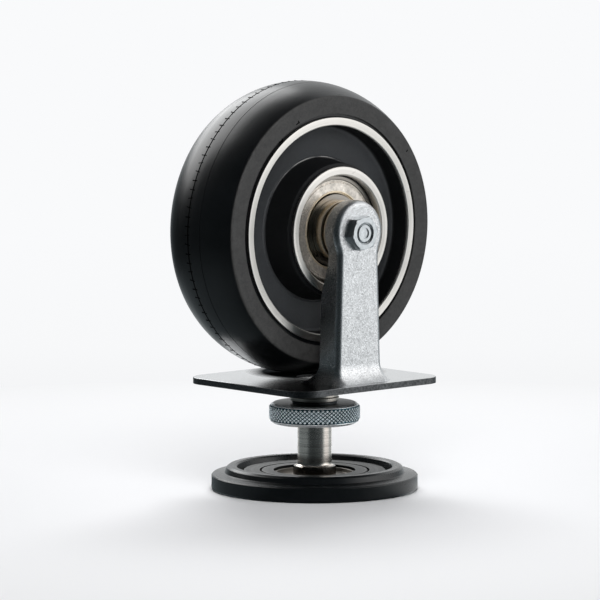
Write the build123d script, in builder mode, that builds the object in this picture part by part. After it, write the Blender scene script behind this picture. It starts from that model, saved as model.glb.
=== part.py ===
from build123d import *
import os
from math import sqrt

os.makedirs("parts", exist_ok=True)

# A levelling castor: a 150 mm rubber-tyred wheel on a one-sided pressed leg, over a
# threaded levelling foot. Millimetres, +Z up. The foot's sole lies on Z = 0, the
# spindle's axis is Z, and the wheel turns about an axis parallel to Y. "Front" is -Y,
# the side of the leg and the axle nut.

# Driving dimensions: wheel
wheel_dia = 150.0
wheel_mid_y = 10.8            # middle plane of the tyre
tyre_clearance = 1.3          # tyre to the plate's top face
tyre_width = 47.2
tyre_crown_radius = 44.0      # of the tread's cross-section
tyre_edge_radius = 2.0
tyre_thickness = 17.0         # crown to the wheel centre's barrel
seam_offset = 2.2             # mould parting line, from the middle plane
seam_width = 0.9
seam_depth = 0.5
flash_offset = -6.2           # second, finer mould line
flash_width = 0.6
flash_depth = 0.3
rim_width = 45.0              # wheel centre's barrel, face to face
rim_wall = 4.7                # barrel's radial thickness
rim_ring_inset = 0.6          # tyre's bore to the ring's outer edge
rim_ring_thickness = 1.6
web_thickness = 25.2
web_root_radius = 2.5
boss_root_dia = 76.0
hub_wall = 5.2                # bearing's outer surface to the boss's
hub_width = 57.8              # wheel centre's boss, face to face
hub_ring_thickness = 1.6
hub_ring_gap = 0.8            # bearing's outer surface to the ring's bore
hub_sleeve_wall = 1.7
ring_chamfer = 0.3
hub_recess = 4.5              # hub ring's face down to the bearing

# Driving dimensions: ball bearings
bearing_bore_dia = 30.0
bearing_dia = 55.0
bearing_width = 13.0
bearing_shoulder = 2.5        # height of the housing's shoulder behind the bearing
ball_count = 9
ball_dia = 7.2
race_gap = 0.3                # ball to raceway
inner_land = 3.4              # radial height of the inner ring
outer_land = 3.4
shield_thickness = 0.7
shield_seat_depth = 1.0
shield_seat_land = 1.5        # radial width of the outer ring's face
shield_lip_gap = 0.4          # shield to inner ring
shield_lip_depth = 1.0
shield_bead_dia = 50.0
shield_bead_width = 0.6
shield_bead_depth = 0.35
cage_width = 8.8
cage_wall = 1.7
cage_pocket_gap = 0.15

# Driving dimensions: axle
axle_dia = 10.0
axle_hole_clearance = 0.4     # on the radius
axle_flats = 16.0
axle_nut_height = 5.5
axle_head_height = 6.4
axle_end_recess = 0.4         # bolt's end below the nut's face
axle_dimple_dia = 5.6
axle_dimple_depth = 0.6
hex_chamfer = 0.8
hex_corner_drop = 0.7         # the trimmed corners' height
axle_nut_turn = 9.0           # degrees from level
thrust_washer_dia = 35.0
thrust_washer_thickness = 3.0
ring_spacer_wall = 2.5
spacer_dia = 31.6
spacer_neck_dia = 26.4
spacer_neck_length = 1.0
spacer_cup_dia = 30.4
spacer_cup_length = 2.6
spacer_pilot_gap = 1.0        # pilot to the inside of the leg's channel
spacer_edge = 0.4

# Driving dimensions: leg
leg_eye_dia = 32.7
leg_waist_width = 27.7
leg_base_width = 31.9
leg_sheet = 3.0
leg_depth_eye = 8.5           # channel depth at the eye
leg_depth_base = 13.4
leg_step_below_eye = 32.0     # where the channel reaches its full depth
leg_step_run = 18.0
leg_step_radius = 12.0
leg_waist_below_eye = 16.0
leg_waist_radius = 11.0
leg_bend_radius = 3.0
leg_flare = 5.2               # how far the sheet has turned out where it meets the plate
leg_flare_radius = 12.2
leg_heel = 8.6                # how far the side walls run back along the plate
leg_heel_radius = 10.0
leg_to_hub = 5.8              # hub ring's face to the channel's rear edge

# Driving dimensions: plate and screw
plate_length = 100.0          # along X
plate_width = 90.0            # along Y
plate_thickness = 3.2
plate_corner_radius = 12.0
plate_edge = 0.4
plate_top_z = 58.2
thread_dia = 17.5
thread_clearance = 0.05       # on the radius, between threaded pieces
boss_dia = 24.4
boss_height = 7.0
collar_dia = 25.2
collar_thickness = 2.0
collar_hole_clearance = 0.5
plate_hole_clearance = 0.5
collar_edge = 0.4
lock_gap = 0.3                # lock washer to collar
lock_washer_dia = 23.0
lock_washer_thickness = 0.9
key_width = 3.0
key_depth = 1.4
key_clearance = 0.15
key_run_out = 1.0             # slot's length beyond the washer's travel
lock_nut_dia = 47.0
lock_nut_face_dia = 42.4
lock_nut_height = 10.4
lock_nut_top_chamfer = 1.1
lock_nut_bottom_chamfer = 1.6
lock_nut_travel = 10.0
spindle_top_below_plate = 0.8
spindle_end_chamfer = 1.5

# Driving dimensions: foot
foot_dia = 106.0
foot_wall_height = 8.0
foot_bottom_edge = 0.8
foot_shoulder_radius = 0.6
foot_shelf_rise = 0.8          # the shelf's slope from the wall up to the lip
foot_lip_ease = 1.6           # bend of the lip's outer side
foot_lip_height = 12.3
foot_lip_outer_run = 3.3      # lip's crown out to its foot on the shelf
foot_lip_width = 3.2          # lip's inner edge to its crown
foot_lip_inner_run = 1.2      # well's wall to the lip's inner edge
foot_lip_inner_drop = 0.9
foot_ring_gap = 2.4           # foot ring to the well's wall
foot_well_z = 7.4
foot_floor_z = 3.6
foot_centre_hole_dia = 20.0
sole_thickness = 1.5
sole_dia = 98.0
sole_relief = 0.3             # disc's rim above the floor
foot_ring_dia = 72.8
foot_ring_seat_clearance = 0.1
foot_ring_wall = 8.2
foot_face_z = 9.9             # common top face of the two foot rings
swivel_gap = 1.0              # foot ring to the swivel ring
swivel_ring_wall = 6.2
swivel_floor_z = 6.6
swivel_wall = 1.6
swivel_rim_below_face = 1.2
glide_thickness = 1.0
glide_gap = 1.7               # glide washer to the foot ring
glide_bore_dia = 21.0
spindle_hex_flats = 19.0
spindle_hex_top_z = 12.1
spindle_flare_top_z = 15.2
spindle_flare_dia = 21.4
spindle_flare_lip = 0.6
spindle_hex_turn = 11.0       # degrees about Z
pin_dia = 12.0
pin_clearance = 0.05
pin_end_z = 2.3
clip_dia = 17.0
clip_thickness = 0.8
clip_groove_depth = 1.0
clip_axial_gap = 0.1
clip_gap_width = 6.0

# Places that follow from the sizes above
wheel_radius = wheel_dia / 2
tyre_bore_r = wheel_radius - tyre_thickness
rim_bore_r = tyre_bore_r - rim_wall
hub_r = bearing_dia / 2 + hub_wall
hub_ring_bore_r = bearing_dia / 2 + hub_ring_gap
hub_sleeve_r = hub_ring_bore_r + hub_sleeve_wall
wheel_z = plate_top_z + tyre_clearance + wheel_radius
tyre_half = tyre_width / 2
rim_half = rim_width / 2
hub_half = hub_width / 2
hub_face = hub_half + hub_ring_thickness
bearing_face = hub_face - hub_recess
bearing_back = bearing_face - bearing_width
bearing_mid = bearing_face - bearing_width / 2
bearing_in_r = bearing_bore_dia / 2
bearing_out_r = bearing_dia / 2
inner_ring_r = bearing_in_r + inner_land
outer_ring_r = bearing_out_r - outer_land
pitch_r = (inner_ring_r + outer_ring_r) / 2
ball_r = ball_dia / 2
race_r = ball_r + race_gap
axle_r = axle_dia / 2
axle_hole_r = axle_r + axle_hole_clearance
leg_back_y = wheel_mid_y - hub_face - leg_to_hub
leg_face_y = leg_back_y - leg_depth_eye
leg_inner_y = leg_face_y + leg_sheet
plate_bottom_z = plate_top_z - plate_thickness
boss_bottom_z = plate_bottom_z - boss_height
collar_bottom_z = boss_bottom_z - collar_thickness
lock_washer_z = collar_bottom_z - lock_gap - lock_washer_thickness
lock_nut_z = lock_washer_z - lock_nut_height
thread_r = thread_dia / 2
thread_hole_r = thread_r + thread_clearance
spindle_top_z = plate_top_z - spindle_top_below_plate
key_bottom_z = lock_washer_z - lock_nut_travel - key_run_out
glide_top_z = foot_floor_z + glide_thickness

wheel_axis = Axis((0, wheel_mid_y, wheel_z), (0, 1, 0))
wheel_section = Plane(origin=(0, wheel_mid_y, wheel_z), x_dir=(0, 1, 0), z_dir=(1, 0, 0))


def outline(*corners, mode=Mode.ADD):
    """Fill a polygon in the open sketch."""
    Polygon(*corners, align=None, mode=mode)


def band(low, high, inner_r, outer_r):
    """Fill the half section of a ring that spans low to high along its axis."""
    outline((low, inner_r), (high, inner_r), (high, outer_r), (low, outer_r))


# Tyre: rounded tread, flat side bands, two mould lines round the tread
side_r = wheel_radius - tyre_crown_radius + sqrt(tyre_crown_radius**2 - tyre_half**2)


def tread_r(offset):
    """Radius of the tread at an offset from the middle plane."""
    return wheel_radius - tyre_crown_radius + sqrt(tyre_crown_radius**2 - offset**2)


with BuildPart() as tyre:
    with BuildSketch(wheel_section) as tyre_profile:
        with BuildLine():
            ThreePointArc((-tyre_half, side_r), (0, wheel_radius), (tyre_half, side_r))
            Polyline(
                (tyre_half, side_r),
                (tyre_half, tyre_bore_r),
                (-tyre_half, tyre_bore_r),
                (-tyre_half, side_r),
            )
        make_face()
        fillet(tyre_profile.vertices().sort_by(Axis.Y)[-2:], tyre_edge_radius)
        for place, width, depth in (
            (seam_offset, seam_width, seam_depth),
            (flash_offset, flash_width, flash_depth),
        ):
            outline(
                (place - width, tread_r(place) + depth),
                (place + width, tread_r(place) + depth),
                (place, tread_r(place) - depth),
                mode=Mode.SUBTRACT,
            )
    revolve(axis=wheel_axis)
tyre.part.label = "tyre"
export_step(tyre.part, "parts/tyre.step")

# Wheel centre: barrel, recessed web, tapered boss and a stepped bearing housing
with BuildPart() as wheel_centre:
    with BuildSketch(wheel_section) as centre_profile:
        outline(
            (0, bearing_out_r - bearing_shoulder),
            (bearing_back, bearing_out_r - bearing_shoulder),
            (bearing_back, bearing_out_r),
            (bearing_face, bearing_out_r),
            (bearing_face, hub_sleeve_r),
            (hub_half, hub_sleeve_r),
            (hub_half, hub_r),
            (web_thickness / 2, boss_root_dia / 2),
            (web_thickness / 2, rim_bore_r),
            (rim_half, rim_bore_r),
            (rim_half, tyre_bore_r),
            (0, tyre_bore_r),
        )
        web_corners = centre_profile.vertices().filter_by(
            lambda v: abs(v.X - web_thickness / 2) < 0.01
        )
        fillet(web_corners, web_root_radius)
        mirror(about=Plane.YZ)
    revolve(axis=wheel_axis)
wheel_centre.part.label = "wheel_centre"
export_step(wheel_centre.part, "parts/wheel_centre.step")

# Machined rings on the barrel's ends and in the hub's mouths, and the two bearings
for side, sign in (("front", -1), ("back", 1)):
    with BuildPart() as rim_ring:
        with BuildSketch(wheel_section):
            band(sign * rim_half, sign * (rim_half + rim_ring_thickness),
                 rim_bore_r, tyre_bore_r - rim_ring_inset)
        revolve(axis=wheel_axis)
        outer_face = rim_ring.faces().sort_by(Axis.Y)[-1 if sign > 0 else 0]
        chamfer(outer_face.edges(), ring_chamfer)
    rim_ring.part.label = f"rim_ring_{side}"
    export_step(rim_ring.part, f"parts/rim_ring_{side}.step")

    with BuildPart() as hub_ring:
        with BuildSketch(wheel_section):
            outline(
                (sign * bearing_face, hub_ring_bore_r),
                (sign * hub_face, hub_ring_bore_r),
                (sign * hub_face, hub_r),
                (sign * hub_half, hub_r),
                (sign * hub_half, hub_sleeve_r),
                (sign * bearing_face, hub_sleeve_r),
            )
        revolve(axis=wheel_axis)
        outer_face = hub_ring.faces().sort_by(Axis.Y)[-1 if sign > 0 else 0]
        chamfer(outer_face.edges(), ring_chamfer)
    hub_ring.part.label = f"hub_ring_{side}"
    export_step(hub_ring.part, f"parts/hub_ring_{side}.step")

    with BuildPart() as outer_race:
        with BuildSketch(wheel_section):
            band(sign * bearing_back, sign * bearing_face, outer_ring_r, bearing_out_r)
            with Locations((sign * bearing_mid, pitch_r)):
                Circle(race_r, mode=Mode.SUBTRACT)
            with Locations((sign * (bearing_face - shield_seat_depth / 2), outer_ring_r)):
                Rectangle(
                    shield_seat_depth,
                    2 * (outer_land - shield_seat_land),
                    mode=Mode.SUBTRACT,
                )
        revolve(axis=wheel_axis)
    outer_race.part.label = f"outer_race_{side}"
    export_step(outer_race.part, f"parts/outer_race_{side}.step")

    with BuildPart() as inner_race:
        with BuildSketch(wheel_section):
            band(sign * bearing_back, sign * bearing_face, bearing_in_r, inner_ring_r)
            with Locations((sign * bearing_mid, pitch_r)):
                Circle(race_r, mode=Mode.SUBTRACT)
        revolve(axis=wheel_axis)
    inner_race.part.label = f"inner_race_{side}"
    export_step(inner_race.part, f"parts/inner_race_{side}.step")

    with BuildPart() as balls:
        ball_ring = Plane(origin=(0, wheel_mid_y + sign * bearing_mid, wheel_z),
                          x_dir=(1, 0, 0), z_dir=(0, 1, 0))
        with Locations(ball_ring):
            with PolarLocations(pitch_r, ball_count):
                Sphere(ball_r)
    balls.part.label = f"balls_{side}"
    export_step(balls.part, f"parts/balls_{side}.step")

    with BuildPart() as cage:
        with BuildSketch(wheel_section):
            band(sign * bearing_mid - cage_width / 2, sign * bearing_mid + cage_width / 2,
                 pitch_r - cage_wall / 2, pitch_r + cage_wall / 2)
        revolve(axis=wheel_axis)
        with Locations(ball_ring):
            with PolarLocations(pitch_r, ball_count):
                Cylinder(
                    ball_r + cage_pocket_gap,
                    cage_width,
                    rotation=(0, 90, 0),
                    mode=Mode.SUBTRACT,
                )
    cage.part.label = f"cage_{side}"
    export_step(cage.part, f"parts/cage_{side}.step")

    shield_back = bearing_face - shield_seat_depth
    shield_in_r = inner_ring_r + shield_lip_gap
    with BuildPart() as shield:
        with BuildSketch(wheel_section):
            band(sign * shield_back, sign * (shield_back + shield_thickness),
                 shield_in_r, bearing_out_r - shield_seat_land)
            band(sign * (shield_back - shield_lip_depth), sign * shield_back,
                 shield_in_r, shield_in_r + shield_thickness)
            with Locations((sign * (shield_back + shield_thickness), shield_bead_dia / 2)):
                Rectangle(2 * shield_bead_depth, shield_bead_width, mode=Mode.SUBTRACT)
        revolve(axis=wheel_axis)
    shield.part.label = f"shield_{side}"
    export_step(shield.part, f"parts/shield_{side}.step")

# Axle: bush through both bearings, spacer between the inner rings, stepped spacer to
# the leg, thrust washer, hexagon bolt and nut
with BuildPart() as axle_bush:
    with BuildSketch(wheel_section):
        band(-bearing_face, bearing_face, axle_hole_r, bearing_in_r)
    revolve(axis=wheel_axis)
axle_bush.part.label = "axle_bush"
export_step(axle_bush.part, "parts/axle_bush.step")

with BuildPart() as race_spacer:
    with BuildSketch(wheel_section):
        band(-bearing_back, bearing_back, bearing_in_r, bearing_in_r + ring_spacer_wall)
    revolve(axis=wheel_axis)
race_spacer.part.label = "race_spacer"
export_step(race_spacer.part, "parts/race_spacer.step")

cup_outer = leg_back_y - wheel_mid_y
cup_inner = cup_outer + spacer_cup_length
neck_inner = cup_inner + spacer_neck_length
pilot_r = leg_eye_dia / 2 - leg_sheet - spacer_pilot_gap
with BuildPart() as leg_spacer:
    with BuildSketch(wheel_section) as spacer_profile:
        outline(
            (-bearing_face, axle_hole_r),
            (-bearing_face, spacer_dia / 2),
            (neck_inner, spacer_dia / 2),
            (neck_inner, spacer_neck_dia / 2),
            (cup_inner, spacer_neck_dia / 2),
            (cup_inner, spacer_cup_dia / 2),
            (cup_outer, spacer_cup_dia / 2),
            (cup_outer, pilot_r),
            (leg_inner_y - wheel_mid_y, pilot_r),
            (leg_inner_y - wheel_mid_y, axle_hole_r),
        )
        rims = spacer_profile.vertices().filter_by(
            lambda v: v.Y > spacer_neck_dia / 2 + 0.1 and v.X < -bearing_face - 0.1
        )
        chamfer(rims, spacer_edge)
    revolve(axis=wheel_axis)
leg_spacer.part.label = "leg_spacer"
export_step(leg_spacer.part, "parts/leg_spacer.step")

washer_y = wheel_mid_y + bearing_face
with BuildPart() as thrust_washer:
    with BuildSketch(wheel_section):
        band(bearing_face, bearing_face + thrust_washer_thickness,
             axle_hole_r, thrust_washer_dia / 2)
    revolve(axis=wheel_axis)
thrust_washer.part.label = "thrust_washer"
export_step(thrust_washer.part, "parts/thrust_washer.step")

head_y = washer_y + thrust_washer_thickness
washer_out = head_y - wheel_mid_y
hex_corner_r = axle_flats / sqrt(3)
nut_face_y = leg_face_y - axle_nut_height
bolt_end_y = nut_face_y + axle_end_recess
axle_front = Plane(origin=(0, leg_face_y, wheel_z), x_dir=(1, 0, 0), z_dir=(0, -1, 0))
axle_rear = Plane(origin=(0, head_y, wheel_z), x_dir=(1, 0, 0), z_dir=(0, 1, 0))

with BuildPart() as axle_bolt:
    with BuildSketch(axle_rear):
        RegularPolygon(axle_flats / 2, 6, major_radius=False)
    extrude(amount=axle_head_height)
    with BuildSketch(wheel_section):
        outline(
            (washer_out, 0),
            (washer_out, hex_corner_r),
            (washer_out + axle_head_height - hex_corner_drop, hex_corner_r),
            (washer_out + axle_head_height, axle_flats / 2),
            (washer_out + axle_head_height, 0),
        )
    revolve(axis=wheel_axis, mode=Mode.INTERSECT)
    with BuildSketch(axle_rear):
        Circle(axle_r)
    extrude(amount=bolt_end_y - head_y)
    chamfer(axle_bolt.faces().sort_by(Axis.Y)[0].edges(), hex_chamfer)
    with BuildSketch(Plane.XZ.offset(-bolt_end_y)):
        with Locations((0, wheel_z)):
            Circle(axle_dimple_dia / 2)
    extrude(amount=-axle_dimple_depth, mode=Mode.SUBTRACT)
axle_bolt.part.label = "axle_bolt"
export_step(axle_bolt.part, "parts/axle_bolt.step")

with BuildPart() as axle_nut:
    with BuildSketch(axle_front):
        RegularPolygon(axle_flats / 2, 6, major_radius=False, rotation=axle_nut_turn)
    extrude(amount=axle_nut_height)
    with BuildSketch(wheel_section):
        outline(
            (nut_face_y - wheel_mid_y, 0),
            (nut_face_y - wheel_mid_y, axle_flats / 2),
            (nut_face_y - wheel_mid_y + hex_corner_drop, hex_corner_r),
            (leg_face_y - wheel_mid_y, hex_corner_r),
            (leg_face_y - wheel_mid_y, 0),
        )
    revolve(axis=wheel_axis, mode=Mode.INTERSECT)
    with BuildSketch(axle_front):
        Circle(axle_r)
    extrude(amount=axle_nut_height, mode=Mode.SUBTRACT)
    bore_edges = axle_nut.edges().filter_by(GeomType.CIRCLE).sort_by(SortBy.RADIUS)[:2]
    chamfer(bore_edges.sort_by(Axis.Y)[0], hex_chamfer)
axle_nut.part.label = "axle_nut"
export_step(axle_nut.part, "parts/axle_nut.step")

# Leg: a pressed channel, open towards the wheel, with a round eye and a flared foot
leg_rear_y = leg_face_y + leg_depth_base
leg_heel_y = leg_rear_y + leg_heel
leg_heel_z = plate_top_z + sqrt(leg_heel_radius**2 - (leg_heel_radius - leg_heel) ** 2)
leg_root_z = (
    plate_top_z
    + sqrt(leg_flare_radius**2 - (leg_flare_radius - leg_flare) ** 2)
    - leg_flare_radius
)
leg_step_z = wheel_z - leg_step_below_eye
leg_eye_r = leg_eye_dia / 2
leg_waist = leg_waist_width / 2
leg_join_z = wheel_z - sqrt(leg_eye_r**2 - leg_waist**2)
with BuildPart() as leg:
    with BuildSketch(Plane.XZ.offset(-leg_face_y)) as leg_outline:
        outline(
            (-leg_base_width / 2, leg_root_z),
            (leg_base_width / 2, leg_root_z),
            (leg_waist, wheel_z - leg_waist_below_eye),
            (leg_waist, wheel_z),
            (-leg_waist, wheel_z),
            (-leg_waist, wheel_z - leg_waist_below_eye),
        )
        with Locations((0, wheel_z)):
            Circle(leg_eye_r)
        for x in (-leg_waist, leg_waist):
            corner = leg_outline.vertices().sort_by_distance((x, leg_join_z, 0))[0]
            fillet(corner, leg_waist_radius)
    extrude(amount=leg_face_y - leg_heel_y)
    bend_edges = leg.faces().sort_by(Axis.Y)[0].edges()
    fillet(bend_edges.filter_by(lambda e: e.center().Z > leg_root_z + 0.1), leg_bend_radius)

    # Foot: the sheet turns outwards on three sides until it meets the plate
    with BuildSketch(Plane.XY.offset(leg_root_z)):
        with Locations((0, leg_heel_y)):
            Rectangle(
                leg_base_width + 2 * leg_flare_radius + 2,
                leg_heel_y - leg_face_y + leg_flare_radius + 1,
                align=(Align.CENTER, Align.MAX),
            )
    extrude(amount=leg_root_z - plate_top_z)
    flare_edges = leg.edges().filter_by(
        lambda e: abs(e.bounding_box().min.Z - leg_root_z) < 0.01
        and abs(e.bounding_box().max.Z - leg_root_z) < 0.01
        and abs(e.center().X) < leg_base_width / 2 + 0.05
        and leg_face_y - 0.05 < e.center().Y < leg_heel_y - 0.05
    )
    fillet(flare_edges, leg_flare_radius)
    split(bisect_by=Plane.XY.offset(plate_top_z), keep=Keep.TOP)

    # The channel is shallower at the eye, where the spacer's cup bears on its edge,
    # and its side walls sweep back to a heel on the plate
    with BuildSketch(Plane.YZ) as leg_step:
        outline(
            (leg_back_y, wheel_z + leg_eye_dia),
            (leg_back_y, leg_step_z + leg_step_run),
            (leg_rear_y, leg_step_z),
            (leg_rear_y, leg_heel_z),
            (leg_rear_y + 2 * leg_heel_radius, leg_heel_z),
            (leg_rear_y + 2 * leg_heel_radius, wheel_z + leg_eye_dia),
        )
        step_ends = leg_step.vertices().filter_by(
            lambda v: leg_step_z - 1 < v.Y < leg_step_z + leg_step_run + 1
        )
        fillet(step_ends.sort_by(Axis.X)[:2], leg_step_radius)
        with Locations((leg_rear_y + leg_heel_radius, leg_heel_z)):
            Circle(leg_heel_radius)
    extrude(amount=leg_eye_dia, both=True, mode=Mode.SUBTRACT)

    # Inside of the channel, open at the bottom and towards the wheel
    with BuildSketch(Plane.XZ.offset(-leg_inner_y)):
        offset(leg_outline.sketch_local, amount=-leg_sheet)
        with Locations((0, plate_top_z + leg_sheet)):
            Rectangle(leg_base_width - 2 * leg_sheet, 2 * leg_sheet)
    extrude(amount=leg_inner_y - leg_heel_y, mode=Mode.SUBTRACT)
    with BuildSketch(axle_front):
        Circle(axle_hole_r)
    extrude(amount=-leg_sheet, mode=Mode.SUBTRACT)
leg.part.label = "leg"
export_step(leg.part, "parts/leg.step")

# Plate, the threaded boss under it and the collar washer below the boss
with BuildPart() as plate:
    with BuildSketch(Plane.XY.offset(plate_bottom_z)):
        RectangleRounded(plate_length, plate_width, plate_corner_radius)
    extrude(amount=plate_thickness)
    fillet(plate.faces().sort_by(Axis.Z)[-1].edges(), plate_edge)
    with BuildSketch(Plane.XY.offset(plate_bottom_z)):
        Circle(thread_hole_r + plate_hole_clearance)
    extrude(amount=plate_thickness, mode=Mode.SUBTRACT)
plate.part.label = "plate"
export_step(plate.part, "parts/plate.step")

with BuildPart() as threaded_boss:
    with BuildSketch(Plane.XY.offset(boss_bottom_z)):
        Circle(boss_dia / 2)
        Circle(thread_hole_r, mode=Mode.SUBTRACT)
    extrude(amount=boss_height)
threaded_boss.part.label = "threaded_boss"
export_step(threaded_boss.part, "parts/threaded_boss.step")

with BuildPart() as collar_washer:
    with BuildSketch(Plane.XY.offset(collar_bottom_z)):
        Circle(collar_dia / 2)
        Circle(thread_hole_r + collar_hole_clearance, mode=Mode.SUBTRACT)
    extrude(amount=collar_thickness)
    chamfer(collar_washer.edges().filter_by(GeomType.CIRCLE).sort_by(SortBy.RADIUS)[-2:],
            collar_edge)
collar_washer.part.label = "collar_washer"
export_step(collar_washer.part, "parts/collar_washer.step")

# Lock nut with its knurled rim, and the washer over it, keyed to the spindle's slot
with BuildPart() as lock_nut:
    with BuildSketch(Plane.XZ):
        outline(
            (thread_hole_r, lock_nut_z),
            (lock_nut_face_dia / 2, lock_nut_z),
            (lock_nut_dia / 2, lock_nut_z + lock_nut_bottom_chamfer),
            (lock_nut_dia / 2, lock_nut_z + lock_nut_height - lock_nut_top_chamfer),
            (lock_nut_face_dia / 2, lock_nut_z + lock_nut_height),
            (thread_hole_r, lock_nut_z + lock_nut_height),
        )
    revolve(axis=Axis.Z)
lock_nut.part.label = "lock_nut"
export_step(lock_nut.part, "parts/lock_nut.step")

with BuildPart() as lock_washer:
    with BuildSketch(Plane.XY.offset(lock_washer_z)):
        Circle(lock_washer_dia / 2)
        Circle(thread_hole_r, mode=Mode.SUBTRACT)
        with Locations((0, thread_hole_r + key_clearance)):
            Rectangle(
                key_width - 2 * key_clearance,
                key_depth,
                align=(Align.CENTER, Align.MAX),
            )
    extrude(amount=lock_washer_thickness)
lock_washer.part.label = "lock_washer"
export_step(lock_washer.part, "parts/lock_washer.step")

# Spindle: pin, hexagon, concave flare and a threaded shank with a key slot
pin_r = pin_dia / 2
clip_top_z = glide_top_z - clip_axial_gap
clip_bottom_z = clip_top_z - clip_thickness
with BuildPart() as spindle:
    with BuildSketch(Plane.XZ):
        with BuildLine():
            Polyline(
                (0, spindle_top_z),
                (0, pin_end_z),
                (pin_r, pin_end_z),
                (pin_r, clip_bottom_z),
                (pin_r - clip_groove_depth, clip_bottom_z),
                (pin_r - clip_groove_depth, clip_top_z),
                (pin_r, clip_top_z),
                (pin_r, swivel_floor_z),
                (spindle_flare_dia / 2, swivel_floor_z),
                (spindle_flare_dia / 2, spindle_hex_top_z),
            )
            Bezier(
                (spindle_flare_dia / 2, spindle_hex_top_z),
                (thread_r, spindle_hex_top_z + spindle_flare_lip),
                (thread_r, spindle_hex_top_z + 2 * spindle_flare_lip),
                (thread_r, spindle_flare_top_z),
            )
            Polyline(
                (thread_r, spindle_flare_top_z),
                (thread_r, spindle_top_z - spindle_end_chamfer),
                (thread_r - spindle_end_chamfer, spindle_top_z),
                (0, spindle_top_z),
            )
        make_face()
    revolve(axis=Axis.Z)
    with BuildSketch(Plane.XY.offset(swivel_floor_z)):
        RegularPolygon(
            spindle_hex_flats / 2,
            6,
            major_radius=False,
            rotation=spindle_hex_turn,
        )
    extrude(amount=spindle_hex_top_z - swivel_floor_z)
    with BuildSketch(Plane.XY.offset(key_bottom_z)):
        with Locations((0, thread_r)):
            Rectangle(key_width, 2 * key_depth)
    extrude(amount=spindle_top_z - key_bottom_z, mode=Mode.SUBTRACT)
spindle.part.label = "spindle"
export_step(spindle.part, "parts/spindle.step")

with BuildPart() as spindle_clip:
    with BuildSketch(Plane.XY.offset(clip_bottom_z)):
        Circle(clip_dia / 2)
        Circle(pin_r - clip_groove_depth, mode=Mode.SUBTRACT)
        with Locations((0, clip_dia / 2)):
            Rectangle(clip_gap_width, clip_dia, mode=Mode.SUBTRACT)
    extrude(amount=clip_thickness)
spindle_clip.part.label = "spindle_clip"
export_step(spindle_clip.part, "parts/spindle_clip.step")

# Foot: cup and ring that swivel on a glide washer, inside a fixed ring and a moulded disc
foot_ring_r = foot_ring_dia / 2
foot_ring_bore_r = foot_ring_r - foot_ring_wall
swivel_outer_r = foot_ring_bore_r - swivel_gap
swivel_ring_r = swivel_outer_r - swivel_ring_wall
with BuildPart() as swivel_cup:
    with BuildSketch(Plane.XZ):
        outline(
            (pin_r + pin_clearance, glide_top_z),
            (swivel_ring_r, glide_top_z),
            (swivel_ring_r, foot_face_z - swivel_rim_below_face),
            (swivel_ring_r - swivel_wall, foot_face_z - swivel_rim_below_face),
            (swivel_ring_r - swivel_wall, swivel_floor_z),
            (pin_r + pin_clearance, swivel_floor_z),
        )
    revolve(axis=Axis.Z)
swivel_cup.part.label = "swivel_cup"
export_step(swivel_cup.part, "parts/swivel_cup.step")

for name, low, inner, outer in (
    ("swivel_ring", glide_top_z, swivel_ring_r, swivel_outer_r),
    ("foot_ring", foot_floor_z, foot_ring_bore_r, foot_ring_r),
):
    with BuildPart() as flat_ring:
        with BuildSketch(Plane.XY.offset(low)):
            Circle(outer)
            Circle(inner, mode=Mode.SUBTRACT)
        extrude(amount=foot_face_z - low)
        chamfer(flat_ring.faces().sort_by(Axis.Z)[-1].edges(), ring_chamfer)
    flat_ring.part.label = name
    export_step(flat_ring.part, f"parts/{name}.step")

with BuildPart() as glide_washer:
    with BuildSketch(Plane.XY.offset(foot_floor_z)):
        Circle(foot_ring_bore_r - glide_gap)
        Circle(glide_bore_dia / 2, mode=Mode.SUBTRACT)
    extrude(amount=glide_thickness)
glide_washer.part.label = "glide_washer"
export_step(glide_washer.part, "parts/glide_washer.step")

foot_r = foot_dia / 2
well_r = foot_ring_r + foot_ring_gap
lip_inner_r = well_r + foot_lip_inner_run
lip_crown_r = lip_inner_r + foot_lip_width
lip_base_r = lip_crown_r + foot_lip_outer_run
lip_inner_z = foot_lip_height - foot_lip_inner_drop
lip_base_z = foot_wall_height + foot_shelf_rise
ring_seat_r = foot_ring_r + foot_ring_seat_clearance
with BuildPart() as foot_disc:
    with BuildSketch(Plane.XZ):
        with BuildLine():
            Polyline(
                (foot_centre_hole_dia / 2, sole_thickness),
                (foot_centre_hole_dia / 2, foot_floor_z),
                (ring_seat_r, foot_floor_z),
                (ring_seat_r, foot_well_z),
                (well_r, foot_well_z),
                (lip_inner_r, lip_inner_z),
            )
            ThreePointArc(
                (lip_inner_r, lip_inner_z),
                (lip_inner_r + 0.4 * (lip_crown_r - lip_inner_r), foot_lip_height - 0.3),
                (lip_crown_r, foot_lip_height),
            )
            Bezier(
                (lip_crown_r, foot_lip_height),
                (lip_base_r - foot_lip_ease, foot_lip_height),
                (lip_base_r - foot_lip_ease, lip_base_z),
                (lip_base_r, lip_base_z),
            )
            Polyline(
                (lip_base_r, lip_base_z),
                (foot_r - foot_shoulder_radius, foot_wall_height),
                (foot_r, foot_wall_height - foot_shoulder_radius),
                (foot_r, sole_relief + foot_bottom_edge),
                (foot_r - foot_bottom_edge, sole_relief),
                (sole_dia / 2, sole_relief),
                (sole_dia / 2, sole_thickness),
                (foot_centre_hole_dia / 2, sole_thickness),
            )
        make_face()
    revolve(axis=Axis.Z)
foot_disc.part.label = "foot_disc"
export_step(foot_disc.part, "parts/foot_disc.step")

with BuildPart() as foot_sole:
    with BuildSketch(Plane.XY):
        Circle(sole_dia / 2)
    extrude(amount=sole_thickness)
foot_sole.part.label = "foot_sole"
export_step(foot_sole.part, "parts/foot_sole.step")
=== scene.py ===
"""Dresses the levelling castor: one operator for each piece or group of like pieces."""

from math import asin, ceil, cos, pi, radians, sin, sqrt

import bmesh
import bpy
from mathutils import Matrix, Vector


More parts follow.
